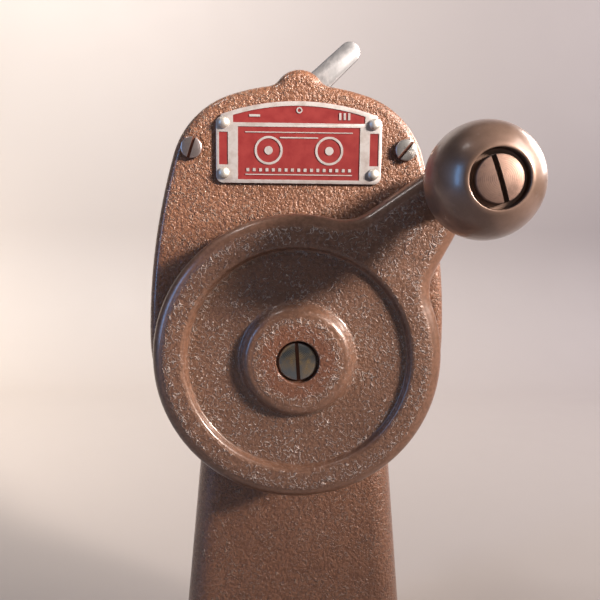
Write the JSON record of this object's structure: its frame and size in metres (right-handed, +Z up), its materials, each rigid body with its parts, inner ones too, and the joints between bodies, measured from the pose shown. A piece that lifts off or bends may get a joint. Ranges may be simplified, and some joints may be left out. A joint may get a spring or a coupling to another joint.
{
  "type": "film rewind",
  "caption": "Bench film rewind: a disc crank with a ball knob drives a reel spindle through a lever-shifted gear case on a tapered column.",
  "frame": {"origin": "middle of the foot's underside, below the case's centre plane", "axes": "+X to the right seen from the crank side, +Y from the crank side to the reel spindle, +Z up"},
  "size_m": [0.1208, 0.147, 0.2495],
  "materials": {
    "wrinkle_enamel": "copper-brown wrinkle enamel, fine worm-like texture",
    "sign_enamel": "etched plate, red enamel with bare metal lines",
    "rivet_aluminium": "domed, lightly oxidised",
    "screw_steel": "turned head, worn",
    "tarnished_steel": "polished, tarnished brown",
    "knob_lacquer": "smooth satin bronze-brown lacquer",
    "plated_steel": "dull zinc-nickel plate",
    "gear_steel": "cut teeth, oiled",
    "bronze": "turned bearing bronze",
    "shaft_steel": "ground"
  },
  "bodies": {
    "housing": {"column_casting": "wrinkle_enamel", "gearcase_cover": "wrinkle_enamel", "cover_screw_1": "screw_steel", "cover_screw_2": "screw_steel", "cover_screw_3": "screw_steel", "cover_screw_4": "screw_steel", "nameplate": "sign_enamel", "nameplate_rivet_1": "rivet_aluminium", "nameplate_rivet_2": "rivet_aluminium", "nameplate_rivet_3": "rivet_aluminium", "nameplate_rivet_4": "rivet_aluminium", "crank_bush_front": "bronze", "crank_bush_rear": "bronze", "spindle_bush_front": "bronze", "spindle_bush_rear": "bronze"},
    "crank": {"crank_disc": "wrinkle_enamel", "crank_shaft": "shaft_steel", "crank_key": "shaft_steel", "crank_screw": "tarnished_steel", "slow_drive_gear": "gear_steel", "fast_drive_gear": "gear_steel", "slow_gear_pin": "shaft_steel", "fast_gear_pin": "shaft_steel", "crank_thrust_washer": "bronze", "knob_screw": "tarnished_steel", "knob_washer": "shaft_steel"},
    "knob": {"crank_knob": "knob_lacquer"},
    "pinion": {"fast_pinion": "gear_steel"},
    "low_gear": {"slow_gear": "gear_steel"},
    "spindle": {"spindle_shaft": "shaft_steel", "spindle_key": "shaft_steel", "spindle_thrust_washer": "bronze", "reel_flange": "plated_steel", "flange_set_screw": "shaft_steel", "latch_pin": "shaft_steel"},
    "latch": {"spindle_latch": "plated_steel"},
    "collar": {"dog_collar": "shaft_steel"},
    "lever": {"shift_shaft": "shaft_steel", "shift_lever": "plated_steel", "lever_pin": "shaft_steel", "cam_pin": "shaft_steel"},
    "fork": {"shift_fork": "gear_steel"}
  },
  "joints": [
    {"name": "crank_turn", "type": "hinge", "parent": "housing", "child": "crank", "pos_m": [0, 0, 0.15], "axis": [0, 1, 0], "continuous": true},
    {"name": "knob_spin", "type": "hinge", "parent": "crank", "child": "knob", "pos_m": [0.04584, -0.068, 0.2033], "axis": [0, 1, 0], "continuous": true},
    {"name": "fast_pinion_spin", "type": "hinge", "parent": "housing", "child": "pinion", "pos_m": [0, 0, 0.19445], "axis": [0, 1, 0], "continuous": true},
    {"name": "slow_gear_spin", "type": "hinge", "parent": "housing", "child": "low_gear", "pos_m": [0, 0, 0.19445], "axis": [0, 1, 0], "continuous": true},
    {"name": "spindle_spin", "type": "hinge", "parent": "housing", "child": "spindle", "pos_m": [0, 0, 0.19445], "axis": [0, 1, 0], "continuous": true},
    {"name": "shift_lever_turn", "type": "hinge", "parent": "housing", "child": "lever", "pos_m": [0, 0, 0.2307], "axis": [0, 1, 0], "range_deg": [-93.2, 0]},
    {"name": "shift_fork_slide", "type": "slide", "parent": "housing", "child": "fork", "axis": [0, 1, 0], "range_m": [-0.0073, 0]},
    {"name": "dog_collar_slide", "type": "slide", "parent": "spindle", "child": "collar", "axis": [0, 1, 0], "range_m": [-0.0073, 0]},
    {"name": "spindle_latch_flip", "type": "hinge", "parent": "spindle", "child": "latch", "pos_m": [0, 0.0518, 0.19445], "axis": [1, 0, 0], "range_deg": [0, 90]}
  ],
  "couplings": [
    {"joint": "fast_pinion_spin", "follows": "crank_turn", "ratio": -4},
    {"joint": "slow_gear_spin", "follows": "crank_turn", "ratio": -1},
    {"joint": "spindle_spin", "follows": "crank_turn", "ratio": -4},
    {"joint": "shift_fork_slide", "follows": "shift_lever_turn", "m_per_rad": 0.0044263},
    {"joint": "dog_collar_slide", "follows": "shift_lever_turn", "m_per_rad": 0.0044263}
  ]
}
